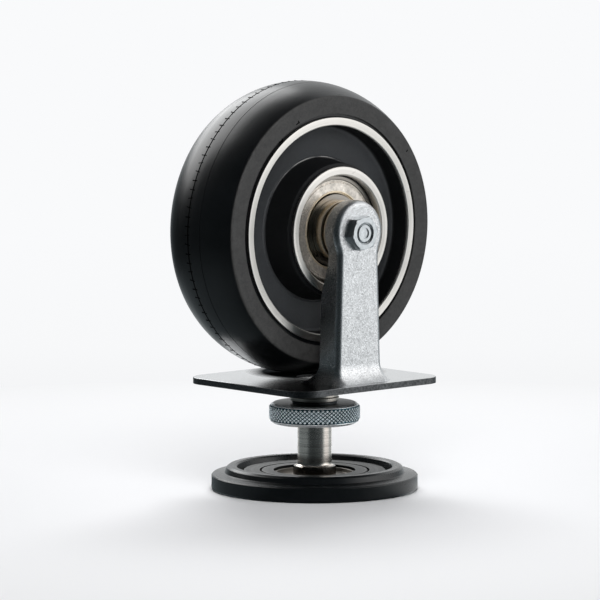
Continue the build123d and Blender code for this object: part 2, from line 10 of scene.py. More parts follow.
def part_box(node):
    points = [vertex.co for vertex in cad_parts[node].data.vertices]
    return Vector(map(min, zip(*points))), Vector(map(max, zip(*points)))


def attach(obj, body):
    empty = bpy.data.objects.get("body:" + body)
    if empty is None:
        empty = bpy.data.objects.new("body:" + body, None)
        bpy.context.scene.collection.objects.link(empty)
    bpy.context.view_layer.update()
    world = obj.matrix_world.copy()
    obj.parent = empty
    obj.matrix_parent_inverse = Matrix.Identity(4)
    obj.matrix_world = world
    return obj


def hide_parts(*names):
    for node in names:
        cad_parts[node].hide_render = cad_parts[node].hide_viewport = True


bl_info = {
    "name": "Levelling Castor",
    "version": (1, 0, 0),
    "blender": (4, 5, 0),
    "location": "View3D > Sidebar > Castor",
    "description": "Models and finishes a rubber-tyred castor on a levelling foot",
    "category": "Object",
}

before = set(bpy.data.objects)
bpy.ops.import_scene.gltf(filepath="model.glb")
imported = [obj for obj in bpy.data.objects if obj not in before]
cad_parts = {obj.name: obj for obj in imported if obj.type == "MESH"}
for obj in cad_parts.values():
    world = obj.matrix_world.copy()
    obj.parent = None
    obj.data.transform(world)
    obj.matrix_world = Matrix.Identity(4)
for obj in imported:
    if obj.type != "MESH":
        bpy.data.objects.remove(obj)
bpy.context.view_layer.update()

MM = 0.001
WHEEL_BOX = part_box("tyre")
WHEEL_MIDDLE = 0.5 * (WHEEL_BOX[0][1] + WHEEL_BOX[1][1])
WHEEL_HEIGHT = 0.5 * (WHEEL_BOX[0][2] + WHEEL_BOX[1][2])
WHEEL_CENTRE = (0.0, WHEEL_MIDDLE, WHEEL_HEIGHT)
ORIGIN = (0.0, 0.0, 0.0)
SIDES = (("front", -1), ("back", 1))

SPIN_STEPS = 160
TYRE_STEPS = 240
WELD = 1e-6                    # vertices nearer than this become one

# The knurl and all sections are in millimetres.
KNURL_RIM = 23.5
KNURL_LOW, KNURL_HIGH = 36.0, 43.7
OUTER_ENDS = -36.0 * MM        # the bolt's and nut's ends lie beyond this

# Painted reflection of the tyre on the plate: a dark disc centred this far along both X
# and Y.
REFLECTION_PATCH_CENTRE = 14.0 * MM
REFLECTION_PATCH_INSIDE, REFLECTION_PATCH_OUTSIDE = 27.6 * MM, 36.8 * MM

# Bearing of the front camera along the floor, to which the studio's tones are tied.
CAMERA_AHEAD = (0.676, 0.737, 0.0)
CAMERA_RIGHT = (0.737, -0.676, 0.0)


# ---------------------------------------------------------------- sizes and colours
def length_setting(name, description, default, unit=MM):
    """A length setting, by default in millimetres."""
    return bpy.props.FloatProperty(name=name, description=description,
                                   default=default * unit, unit="LENGTH")


def angle_setting(name, description, degrees):
    """An angle setting."""
    return bpy.props.FloatProperty(name=name, description=description,
                                   default=radians(degrees), subtype="ANGLE")


def count_setting(name, description, default):
    """A whole-number setting."""
    return bpy.props.IntProperty(name=name, description=description, default=default)


def colour_setting(name, description, *channels):
    """A colour setting."""
    return bpy.props.FloatVectorProperty(name=name, description=description, size=4,
                                         subtype="COLOR", default=(*channels, 1.0))


class CastorWheelSizes(bpy.types.PropertyGroup):
    """Sizes of the wheel."""

    tread_radius: length_setting("Tread radius", "At the middle of the crown", 75.0)
    tyre_width: length_setting("Tyre width", "Across the side bands", 47.2)
    crown_radius: length_setting("Crown radius", "Of the tread's cross-section", 44.0)
    seam_offset: length_setting("Seam offset", "Parting line, from the middle plane", 2.2)
    flash_offset: length_setting(
        "Flash offset", "Second mould line, from the middle plane", -6.2)
    seam_nicks: count_setting("Seam nicks", "Cross nicks round the parting line", 100)


class CastorFootSizes(bpy.types.PropertyGroup):
    """Sizes of the lock nut and the foot."""

    knurl_columns: count_setting("Knurl columns", "Diamonds round the lock nut", 62)
    knurl_rows: count_setting("Knurl rows", "Half diamonds up the lock nut", 8)
    knurl_depth: length_setting("Knurl depth", "Valley to point", 0.75)
    lip_height: length_setting("Lip height", "Top of the disc's raised lip", 12.3)


class CastorColours(bpy.types.PropertyGroup):
    """Colours of the finishes."""

    rubber: colour_setting("Rubber", "Tyre", 0.0018, 0.0022, 0.0026)
    side_band: colour_setting("Side band", "Tyre's flat sides", 0.034, 0.0335, 0.033)
    casting: colour_setting("Casting", "Painted wheel centre", 0.0035, 0.0037, 0.004)
    web: colour_setting("Web", "Recessed face of the wheel centre", 0.033, 0.035, 0.0375)
    turned: colour_setting("Turned face", "Bare rings", 0.85, 0.82, 0.775)
    zinc: colour_setting("Zinc", "Pressed sheet", 0.74, 0.75, 0.76)
    blue_zinc: colour_setting("Blue zinc", "Nuts, bolt and washers", 0.72, 0.755, 0.775)
    warm_steel: colour_setting("Warm steel", "Shields, sleeves, boss", 0.56, 0.52, 0.47)
    nickel: colour_setting("Nickel", "Spindle", 0.98, 0.90, 0.82)
    charcoal: colour_setting("Charcoal", "Foot's moulding", 0.0020, 0.0026, 0.0031)
    ring_grey: colour_setting("Ring grey", "Foot's flat rings", 0.13, 0.13, 0.128)


class CastorStageSizes(bpy.types.PropertyGroup):
    """Place and lens of the front camera."""

    azimuth: angle_setting("Azimuth", "Camera's bearing", -42.55)
    elevation: angle_setting("Elevation", "Camera's height angle", 6.339)
    distance: length_setting("Distance", "Camera to the aiming point", 2.610474, unit=1.0)
    lens: bpy.props.FloatProperty(
        name="Lens", description="Focal length in millimetres", default=304.54)
    aim_side: length_setting("Aim aside", "Aiming point, to the camera's right", -7.48)
    aim_up: length_setting("Aim up", "Aiming point, along the camera's up", 96.961)


# ---------------------------------------------------------------- modelling helpers
def deselect():
    """Leave nothing selected, in object mode."""
    if bpy.context.object and bpy.context.object.mode != "OBJECT":
        bpy.ops.object.mode_set(mode="OBJECT")
    bpy.ops.object.select_all(action="DESELECT")


def edit_whole():
    """Enter edit mode with everything selected."""
    bpy.ops.object.mode_set(mode="EDIT")
    bpy.ops.mesh.select_all(action="SELECT")


def select_vertices(piece, chosen):
    """In edit mode, select the vertices that chosen accepts."""
    mesh = bmesh.from_edit_mesh(piece.data)
    bpy.ops.mesh.select_all(action="DESELECT")
    for vertex in mesh.verts:
        vertex.select = chosen(vertex)
    mesh.select_flush_mode()
    bmesh.update_edit_mesh(piece.data)


def rounded(points, segments=5):
    """A section's points, with an arc in place of each corner that states a radius."""
    corners = [(Vector(p[:2]), p[2] if len(p) > 2 else 0.0) for p in points]
    section = []
    for index, (corner, radius) in enumerate(corners):
        if not radius:
            section.append(corner)
            continue
        before = (corners[index - 1][0] - corner).normalized()
        after = (corners[(index + 1) % len(corners)][0] - corner).normalized()
        half = 0.5 * before.angle(after)
        centre = corner + (before + after).normalized() * (radius / sin(half))
        start = corner + before * (radius / (sin(half) / cos(half))) - centre
        end = corner + after * (radius / (sin(half) / cos(half))) - centre
        turn = start.angle(end)
        for step in range(segments + 1):
            share = step / segments
            arm = (start * sin((1 - share) * turn) + end * sin(share * turn)) / sin(turn)
            section.append(centre + arm)
    return section


def spin_section(name, section, round_wheel=False, closed=True, steps=SPIN_STEPS):
    """Draw a section of (radius, along) points by extruding, and spin it a full turn."""
    deselect()
    if round_wheel:
        centre, axis = Vector(WHEEL_CENTRE), (0.0, 1.0, 0.0)
        places = [centre + Vector((0.0, along, radius)) * MM for radius, along in section]
    else:
        centre, axis = Vector(ORIGIN), (0.0, 0.0, 1.0)
        places = [centre + Vector((radius, 0.0, along)) * MM for radius, along in section]
    bpy.ops.mesh.primitive_plane_add(size=MM, location=(0, 0, 0))
    piece = bpy.context.object
    piece.name = name
    edit_whole()
    bpy.ops.mesh.merge(type="CENTER")
    bpy.ops.transform.translate(value=places[0])
    for start, end in zip(places, places[1:]):
        bpy.ops.mesh.extrude_vertices_move(TRANSFORM_OT_translate={"value": end - start})
    if closed:
        last = len(places) - 1
        select_vertices(piece, lambda vertex: vertex.index in (0, last))
        bpy.ops.mesh.edge_face_add()
    bpy.ops.mesh.select_all(action="SELECT")
    bpy.ops.mesh.spin(steps=steps, angle=2 * pi, center=centre, axis=axis)
    bpy.ops.mesh.select_all(action="SELECT")
    bpy.ops.mesh.remove_doubles(threshold=WELD)
    bpy.ops.mesh.normals_make_consistent(inside=False)
    bpy.ops.object.mode_set(mode="OBJECT")
    return piece


def facing(section, sign):
    """A section turned to one side of the wheel's middle."""
    return [(radius, sign * along) for radius, along in section]


def merged_copy(node):
    """A welded copy of a CAD node's mesh."""
    deselect()
    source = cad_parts[node]
    piece = bpy.data.objects.new(f"{node}_piece", source.data.copy())
    bpy.context.collection.objects.link(piece)
    bpy.context.view_layer.objects.active = piece
    piece.select_set(True)
    piece.data.materials.clear()
    edit_whole()
    bpy.ops.mesh.remove_doubles(threshold=WELD)
    bpy.ops.mesh.dissolve_limited(angle_limit=radians(0.1), delimit={"NORMAL"})
    bpy.ops.mesh.select_all(action="SELECT")
    bpy.ops.mesh.normals_make_consistent(inside=False)
    bpy.ops.object.mode_set(mode="OBJECT")
    return piece


def apply_modifier(piece, kind, **settings):
    """Add a modifier, set it and apply it."""
    bpy.context.view_layer.objects.active = piece
    modifier = piece.modifiers.new(kind.title(), kind)
    for key, value in settings.items():
        setattr(modifier, key, value)
    bpy.ops.object.modifier_apply(modifier=modifier.name)


def finish_piece(piece, body, finish, nodes=(), edge=0.0, smooth=32.0):
    """Break the edges, smooth, dress, hang the piece on its body and hide the nodes it
    stands for.
    """
    deselect()
    piece.select_set(True)
    bpy.context.view_layer.objects.active = piece
    if edge:
        apply_modifier(piece, "BEVEL", width=edge * MM, segments=3,
                       limit_method="ANGLE", angle_limit=radians(38.0),
                       use_clamp_overlap=True)
    bpy.ops.object.shade_smooth_by_angle(angle=radians(smooth))
    apply_modifier(piece, "WEIGHTED_NORMAL", keep_sharp=True)
    dress(piece, finish)
    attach(piece, body)
    if nodes:
        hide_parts(*nodes)


def dress(piece, finish):
    """Give a piece one finish."""
    piece.data.materials.clear()
    piece.data.materials.append(bpy.data.materials[finish])


def dress_node(node, finish):
    """Give a CAD node that stays a finish."""
    dress(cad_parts[node], finish)


def spun_piece(node, section, body, slot, finish, edge=0.0, smooth=32.0, **how):
    """Spin a section and finish it in place of its CAD node."""
    piece = spin_section(f"{node}_piece", section, **how)
    finish_piece(piece, body, finish, [node], edge=edge, smooth=smooth)


def copied_piece(node, body, finish, smooth=32.0):
    """Finish a welded copy of a CAD node in its place."""
    finish_piece(merged_copy(node), body, finish, [node], smooth=smooth)


# ---------------------------------------------------------------- shader helpers
def wire(tree, kind, inputs=None, **settings):
    """Add a shader node, set its properties, and link or fill its inputs."""
    node = tree.nodes.new(f"ShaderNode{kind}")
    for key, value in settings.items():
        setattr(node, key, value)
    for key, value in (inputs or {}).items():
        if isinstance(value, bpy.types.NodeSocket):
            tree.links.new(value, node.inputs[key])
        else:
            node.inputs[key].default_value = value
    return node


def maths(tree, operation, *values):
    """Output of a Math node."""
    return wire(tree, "Math", dict(enumerate(values)), operation=operation).outputs[0]


def sum_of(tree, first, *others):
    """Sum of values."""
    for other in others:
        first = maths(tree, "ADD", first, other)
    return first


def product_of(tree, first, *others):
    """Product of values."""
    for other in others:
        first = maths(tree, "MULTIPLY", first, other)
    return first


def weighted(tree, *parts):
    """Sum of values, each times its weight."""
    return sum_of(tree, *[product_of(tree, value, weight) for value, weight in parts])


def ranged(tree, value, low, high, start=0.0, end=1.0):
    """Output of a clamped Map Range node."""
    return wire(tree, "MapRange", {"Value": value, "From Min": low, "From Max": high,
                                   "To Min": start, "To Max": end}).outputs[0]


def between(tree, share, start, end):
    """A value that goes from start to end as the share goes from 0 to 1."""
    return ranged(tree, share, 0.0, 1.0, start, end)


def tinted(tree, factor, first, second, mode="MIX"):
    """Output of a colour Mix node."""
    return wire(tree, "Mix", {0: factor, 6: first, 7: second},
                data_type="RGBA", blend_type=mode).outputs[2]


def scaled(colour, amount):
    """A colour made darker or lighter."""
    return tuple(channel * amount for channel in colour[:3]) + (1.0,)


def shaded(tree, share, base, dark, light=1.0):
    """A base colour that goes from its dark to its light shade."""
    return tinted(tree, share, scaled(base, dark), scaled(base, light))


def noise(tree, vector, scale, detail=2.0, roughness=0.5, distortion=0.0):
    """Factor of a Noise Texture node."""
    return wire(tree, "TexNoise", {"Vector": vector, "Scale": scale, "Detail": detail,
                                   "Roughness": roughness,
                                   "Distortion": distortion}).outputs["Fac"]


def height_of(tree, place):
    """Height of a point."""
    return wire(tree, "SeparateXYZ", {0: place}).outputs[2]


def effect(tree, name, **inputs):
    """Outputs of a shared effect."""
    return wire(tree, "Group", inputs, node_tree=bpy.data.node_groups[name]).outputs


def start_material(name, **sockets):
    """Start a material: its tree, its Principled shader and the piece's coordinates."""
    material = bpy.data.materials.new(name)
    material.use_nodes = True
    tree = material.node_tree
    shader = tree.nodes["Principled BSDF"]
    for label, value in sockets.items():
        shader.inputs[label.replace("_", " ")].default_value = value
    return tree, shader, wire(tree, "TexCoord").outputs["Object"]


def feed(tree, shader, **sockets):
    """Link outputs to the shader's inputs."""
    for label, value in sockets.items():
        tree.links.new(value, shader.inputs[label.replace("_", " ")])


def raise_surface(tree, shader, height, distance, strength):
    """Bump from a height in place of the shader's flat normal."""
    bump = wire(tree, "Bump", {"Height": height, "Distance": distance,
                               "Strength": strength})
    feed(tree, shader, Normal=bump.outputs[0])


def on_wheel(tree, place):
    """Coordinates with the wheel's axis along Z."""
    moved = wire(tree, "Mapping", {"Vector": place, "Location": (
        0.0, -WHEEL_MIDDLE, -WHEEL_HEIGHT)}).outputs[0]
    return wire(tree, "Mapping", {"Vector": moved,
                                  "Rotation": (radians(90.0), 0.0, 0.0)}).outputs[0]


# ---------------------------------------------------------------- shared effects
def build_round_axis(tree, given):
    """Radius and place along Z of a point."""
    parts = wire(tree, "SeparateXYZ", {0: given["Vector"]}).outputs
    square = sum_of(tree, product_of(tree, parts[0], parts[0]),
                    product_of(tree, parts[1], parts[1]))
    return {"Radius": maths(tree, "SQRT", square), "Along": parts[2]}


def build_turned_marks(tree, given):
    """Fine tool marks round an axis, with a slow wander."""
    round_axis = effect(tree, "Round Axis", Vector=given["Vector"])
    ring = wire(tree, "CombineXYZ", {
        0: product_of(tree, round_axis["Radius"], given["Marks"]),
        1: product_of(tree, round_axis["Along"], given["Marks"])}).outputs[0]
    fine = noise(tree, ring, 1.0, 3.0, 0.6)
    broad = noise(tree, ring, 0.13)
    patches = noise(tree, given["Vector"], 60.0)
    shade = weighted(tree, (fine, 0.6), (broad, 0.4), (patches, 0.25))
    return {"Height": fine, "Shade": ranged(tree, shade, 0.45, 0.8)}


def build_mottle(tree, given):
    """Cloudy spangle of a plated surface."""
    coarse = noise(tree, given["Vector"], given["Size"], 4.0, 0.62, 0.6)
    fine_size = product_of(tree, given["Size"], 4.2)
    fine = noise(tree, given["Vector"], fine_size, 3.0, 0.65, 0.3)
    flakes = wire(tree, "TexVoronoi", {"Vector": given["Vector"],
                                       "Scale": fine_size}).outputs["Color"]
    flake = wire(tree, "SeparateXYZ", {0: flakes}).outputs[0]
    shade = weighted(tree, (coarse, 0.55), (fine, 0.3), (flake, 0.15))
    return {"Height": fine, "Shade": ranged(tree, shade, 0.34, 0.66)}


def build_grain(tree, given):
    """Fine grain of a moulded or painted surface."""
    fine = noise(tree, given["Vector"], given["Size"], 5.0, 0.7)
    cloudy_size = product_of(tree, given["Size"], 0.04)
    cloudy = noise(tree, given["Vector"], cloudy_size, 3.0, 0.55)
    shade = weighted(tree, (fine, 0.45), (cloudy, 0.55))
    return {"Height": fine, "Shade": ranged(tree, shade, 0.36, 0.64)}


def build_scuffs(tree, given):
    """Sparse small scratches and rubbed spots."""
    stretched = wire(tree, "Mapping", {"Vector": given["Vector"],
                                       "Rotation": (0.5, 0.3, 0.7),
                                       "Scale": (1.0, 9.0, 3.0)}).outputs[0]
    lines = noise(tree, stretched, given["Size"], 3.0, 0.55, 0.2)
    spot_size = product_of(tree, given["Size"], 1.7)
    spots = noise(tree, given["Vector"], spot_size, 4.0, 0.7)
    marks = maths(tree, "MAXIMUM", ranged(tree, lines, 0.66, 0.72),
                  ranged(tree, spots, 0.68, 0.74))
    return {"Mask": product_of(tree, marks, given["Amount"])}


def ramp(tree, factor, stops):
    """Colour of a ramp through greys at given places."""
    node = wire(tree, "ValToRGB", {"Fac": factor})
    elements = node.color_ramp.elements
    while len(elements) < len(stops):
        elements.new(1.0)
    for element, (place, grey) in zip(elements, stops):
        element.position = place
        element.color = (grey, grey, grey, 1.0)
    return node.outputs["Color"]


def build_studio_ring(tree, given):
    """What glossy rays see round the horizon; its stretches suit the front view only."""
    ahead, right = (
        wire(tree, "VectorMath", {0: given["Direction"], 1: bearing},
             operation="DOT_PRODUCT").outputs["Value"]
        for bearing in (CAMERA_AHEAD, CAMERA_RIGHT))
    turn = maths(tree, "ARCTAN2", right, ahead)
    share = maths(tree, "MULTIPLY_ADD", turn, 0.5 / pi, 0.5)
    greys = {
        "Low": ((0.0, 0.015), (0.12, 0.02), (0.19, 0.05), (0.26, 0.05), (0.34, 0.03),
                (0.41, 0.08), (0.45, 0.80), (0.50, 0.93), (0.56, 0.85), (0.62, 0.16),
                (0.67, 0.18), (0.715, 0.90), (0.80, 0.90), (0.845, 0.10), (0.92, 0.02),
                (1.0, 0.02)),
        "High": ((0.0, 0.03), (0.38, 0.03), (0.44, 0.35), (0.50, 0.9), (0.66, 0.9),
                 (0.72, 1.35), (0.81, 1.35), (0.88, 0.06), (1.0, 0.03)),
        "Near": ((0.0, 0.05), (0.09, 0.06), (0.15, 0.22), (0.33, 0.22), (0.44, 0.8),
                 (0.50, 0.93), (0.58, 0.8), (0.64, 0.3), (0.72, 0.9), (0.80, 0.9),
                 (0.85, 0.1), (1.0, 0.06))}
    outputs = {}
    for label, stops in greys.items():
        grey = ramp(tree, share, stops)
        tint = tinted(tree, grey, (0.80, 1.0, 1.09, 1.0), (1.0, 1.0, 1.0, 1.0))
        outputs[label] = tinted(tree, 1.0, grey, tint, "MULTIPLY")
    return outputs


def shade_group(name, inputs, outputs, build):
    """A shader node group with named sockets; build gets its tree and inputs."""
    group = bpy.data.node_groups.new(name, "ShaderNodeTree")
    for label, kind, value in inputs:
        socket = group.interface.new_socket(label, in_out="INPUT", socket_type=kind)
        if value is not None:
            socket.default_value = value
    for label, kind in outputs:
        group.interface.new_socket(label, in_out="OUTPUT", socket_type=kind)
    source = group.nodes.new("NodeGroupInput")
    sink = group.nodes.new("NodeGroupOutput")
    for label, value in build(group, source.outputs).items():
        group.links.new(value, sink.inputs[label])


def build_groups():
    """Make the shared effects."""
    number, vector, tone = "NodeSocketFloat", "NodeSocketVector", "NodeSocketColor"
    place = ("Vector", vector, None)
    surface = [("Height", number), ("Shade", number)]
    shade_group("Round Axis", [place], [("Radius", number), ("Along", number)],
                build_round_axis)
    shade_group("Turned Marks", [place, ("Marks", number, 2000.0)], surface,
                build_turned_marks)
    shade_group("Plated Mottle", [place, ("Size", number, 120.0)], surface, build_mottle)
    shade_group("Fine Grain", [place, ("Size", number, 900.0)], surface, build_grain)
    shade_group("Scuffs", [place, ("Size", number, 90.0), ("Amount", number, 1.0)],
                [("Mask", number)], build_scuffs)
    shade_group("Studio Ring", [("Direction", vector, None)],
                [("Low", tone), ("High", tone), ("Near", tone)], build_studio_ring)


# ---------------------------------------------------------------- finishes
def make_rubber(colours):
    """Moulded rubber: shining tread and dull cut side bands."""
    tree, shader, place = start_material("Moulded Rubber", Specular_IOR_Level=0.5)
    grain = effect(tree, "Fine Grain", Vector=place, Size=1400.0)
    mottle = effect(tree, "Plated Mottle", Vector=place, Size=260.0)
    turned = on_wheel(tree, place)
    streaks = effect(tree, "Turned Marks", Vector=turned, Marks=700.0)
    round_axis = effect(tree, "Round Axis", Vector=turned)
    off_middle = maths(tree, "ABSOLUTE", round_axis["Along"])
    band = product_of(tree, ranged(tree, round_axis["Radius"], 68.9 * MM, 68.2 * MM),
                      ranged(tree, off_middle, 22.6 * MM, 23.4 * MM))
    tread = shaded(tree, grain["Shade"], colours.rubber, 0.7, 1.4)
    side = shaded(tree, mottle["Shade"], colours.side_band, 0.62, 1.2)
    rough = sum_of(tree, between(tree, streaks["Shade"], 0.26, 0.37),
                   product_of(tree, band, 0.24))
    feed(tree, shader, Base_Color=tinted(tree, band, tread, side), Roughness=rough)
    raise_surface(tree, shader, grain["Height"], 0.05 * MM, 0.5)


def make_casting(colours):
    """Matt black paint on a rough casting, with a painted highlight at the boss's root.
    """
    tree, shader, place = start_material("Painted Casting", Specular_IOR_Level=0.28)
    grain = effect(tree, "Fine Grain", Vector=place, Size=800.0)
    round_axis = effect(tree, "Round Axis", Vector=on_wheel(tree, place))
    off_middle = maths(tree, "ABSOLUTE", round_axis["Along"])
    web = ranged(tree, off_middle, 13.6 * MM, 13.0 * MM)
    colour = tinted(tree, web, shaded(tree, grain["Shade"], colours.casting, 0.7, 1.4),
                    shaded(tree, grain["Shade"], colours.web, 0.8, 1.25))
    from_root = maths(tree, "ABSOLUTE", maths(tree, "SUBTRACT", round_axis["Radius"],
                                              36.9 * MM))
    # Painted highlight: a fixed bright line, on the upper side only, whatever the light.
    line = product_of(tree, ranged(tree, from_root, 0.32 * MM, 0.12 * MM),
                      ranged(tree, noise(tree, place, 60.0), 0.36, 0.5),
                      ranged(tree, off_middle, 14.2 * MM, 13.6 * MM),
                      ranged(tree, height_of(tree, place), WHEEL_HEIGHT + 18.0 * MM,
                             WHEEL_HEIGHT + 34.0 * MM))
    feed(tree, shader, Base_Color=tinted(tree, line, colour, (0.26, 0.255, 0.25, 1.0)),
         Roughness=between(tree, grain["Shade"], 0.48, 0.62))
    raise_surface(tree, shader, grain["Height"], 0.12 * MM, 0.5)


def make_turned(name, base, marks, rough, on_axle=True, contrast=0.3, across=0.0,
                shaded_ends=None):
    """Bare turned metal with tool marks round its axis, and painted shade past two
    heights.
    """
    tree, shader, place = start_material(name, Metallic=1.0)
    turned = on_wheel(tree, place) if on_axle else place
    tool = effect(tree, "Turned Marks", Vector=turned, Marks=marks)
    scuffs = effect(tree, "Scuffs", Vector=place, Size=160.0, Amount=0.4)
    metal = shaded(tree, tool["Shade"], base, 1.0 - contrast)
    colour = tinted(tree, scuffs["Mask"], metal, scaled(base, 0.55))
    # Painted shade: below the low height and above the high height the colour is
    # darkened.
    if shaded_ends:
        height = height_of(tree, place)
        low, high = shaded_ends
        dark = sum_of(tree, ranged(tree, height, low, low - 0.2 * MM),
                      ranged(tree, height, high, high + 0.2 * MM))
        colour = tinted(tree, dark, colour, scaled(base, 0.2))
    feed(tree, shader, Base_Color=colour,
         Roughness=between(tree, tool["Shade"], rough + 0.1, rough - 0.05))
    raise_surface(tree, shader, tool["Height"], 0.05 * MM, 0.5)
    if across:
        shader.inputs["Anisotropic"].default_value = across
        shader.inputs["Anisotropic Rotation"].default_value = 0.25
        around = wire(tree, "Tangent", direction_type="RADIAL", axis="Y")
        feed(tree, shader, Tangent=around.outputs[0])


def make_plated(name, base, size, rough, contrast=0.35, bump=0.06):
    """Mottled plating."""
    tree, shader, place = start_material(name, Metallic=1.0)
    mottle = effect(tree, "Plated Mottle", Vector=place, Size=size)
    scuffs = effect(tree, "Scuffs", Vector=place, Size=120.0, Amount=0.45)
    plating = shaded(tree, mottle["Shade"], base, 1.0 - contrast)
    colour = tinted(tree, scuffs["Mask"], plating, scaled(base, 0.45))
    feed(tree, shader, Base_Color=colour,
         Roughness=between(tree, mottle["Shade"], rough + 0.14, rough - 0.04))
    raise_surface(tree, shader, mottle["Height"], bump * MM, 0.7)


def make_shield(name, base, bead):
    """Stained pressed steel with a bright bead round its bore."""
    tree, shader, place = start_material(name, Metallic=0.86)
    radius = effect(tree, "Round Axis", Vector=on_wheel(tree, place))["Radius"]
    mottle = effect(tree, "Plated Mottle", Vector=place, Size=260.0)
    lip = ranged(tree, radius, 20.25 * MM, 20.1 * MM)
    stain = shaded(tree, mottle["Shade"], base, 0.55)
    feed(tree, shader, Base_Color=tinted(tree, lip, stain, bead),
         Roughness=between(tree, mottle["Shade"], 0.42, 0.24))
    raise_surface(tree, shader, mottle["Height"], 0.05 * MM, 0.7)


def make_sheet(name, base):
    """Zinc-plated sheet with a fine crystalline sparkle."""
    tree, shader, place = start_material(name, Metallic=1.0)
    grains = noise(tree, place, 2600.0, 1.0)
    clouds = noise(tree, place, 240.0)
    shade = ranged(tree, weighted(tree, (grains, 0.85), (clouds, 0.15)), 0.36, 0.64)
    feed(tree, shader, Base_Color=shaded(tree, shade, base, 0.6, 1.24),
         Roughness=between(tree, shade, 0.36, 0.22))
    raise_surface(tree, shader, grains, 0.12 * MM, 0.8)


def make_edged_plate(name, base, edge, top):
    """Bright plate with rough dark edges, and the tyre's reflection painted as a dark
    disc under it.
    """
    tree, shader, place = start_material(name, Metallic=1.0, Specular_IOR_Level=0.0)
    side = ranged(tree, height_of(tree, place), top - 0.02 * MM, top - 0.12 * MM)
    mottle = effect(tree, "Plated Mottle", Vector=place, Size=300.0)
    bright = shaded(tree, mottle["Shade"], base, 0.86)
    # The patch is no real stain. It stands in for the tyre's reflection from the front.
    offset = wire(tree, "Mapping", {"Vector": place, "Location": (
        -REFLECTION_PATCH_CENTRE, -REFLECTION_PATCH_CENTRE, 0.0)}).outputs[0]
    reach = effect(tree, "Round Axis", Vector=offset)["Radius"]
    painted_reflection = ranged(tree, reach, REFLECTION_PATCH_OUTSIDE, REFLECTION_PATCH_INSIDE)
    bright = tinted(tree, painted_reflection, bright, (0.02, 0.022, 0.024, 1.0))
    grains = noise(tree, place, 1100.0, 3.0, 0.65)
    dark = shaded(tree, ranged(tree, grains, 0.36, 0.64), edge, 0.4)
    feed(tree, shader, Base_Color=tinted(tree, side, bright, dark),
         Roughness=between(tree, side, 0.18, 0.42),
         Metallic=between(tree, painted_reflection, 1.0, 0.0))


def make_knurled(name, base, valley_shade):
    """Points painted bright as a highlight over valleys painted dark as shade."""
    tree, shader, place = start_material(name, Metallic=1.0)
    radius = effect(tree, "Round Axis", Vector=place)["Radius"]
    mottle = effect(tree, "Plated Mottle", Vector=place, Size=500.0)
    # Painted highlight on the points, less metallic so they stay bright, and painted
    # shade in the valleys.
    point = shaded(tree, mottle["Shade"], base, 0.8)
    point_highlight_share = ranged(tree, radius, 22.84 * MM, 23.1 * MM)
    feed(tree, shader, Base_Color=tinted(tree, point_highlight_share, valley_shade, point),
         Roughness=ranged(tree, radius, 22.8 * MM, 23.4 * MM, 0.4, 0.2),
         Metallic=between(tree, point_highlight_share, 1.0, 0.2))


def make_lock_nut(name, base, shadow):
    """Plated nut with painted shadow on its top face inside its chamfer."""
    tree, shader, place = start_material(name, Metallic=0.6)
    round_axis = effect(tree, "Round Axis", Vector=place)
    mottle = effect(tree, "Plated Mottle", Vector=place, Size=420.0)
    # Painted shadow: the top face inside the chamfer takes the shadow colour.
    face = product_of(tree, ranged(tree, round_axis["Radius"], 21.4 * MM, 21.0 * MM),
                      ranged(tree, round_axis["Along"], 44.2 * MM, 44.5 * MM))
    bright = shaded(tree, mottle["Shade"], base, 0.86)
    feed(tree, shader, Base_Color=tinted(tree, face, bright, shadow),
         Roughness=between(tree, face, 0.26, 0.34))


def make_moulded(name, base, rough, shine=0.5):
    """Moulded plastic or rubber with a fine grain."""
    tree, shader, place = start_material(name, Specular_IOR_Level=shine)
    grain = effect(tree, "Fine Grain", Vector=place, Size=700.0)
    scuffs = effect(tree, "Scuffs", Vector=place, Size=100.0, Amount=0.3)
    colour = tinted(tree, scuffs["Mask"], shaded(tree, grain["Shade"], base, 0.7, 1.4),
                    scaled(base, 3.0))
    feed(tree, shader, Base_Color=colour,
         Roughness=between(tree, grain["Shade"], rough + 0.08, rough - 0.06))
    raise_surface(tree, shader, grain["Height"], 0.1 * MM, 0.5)


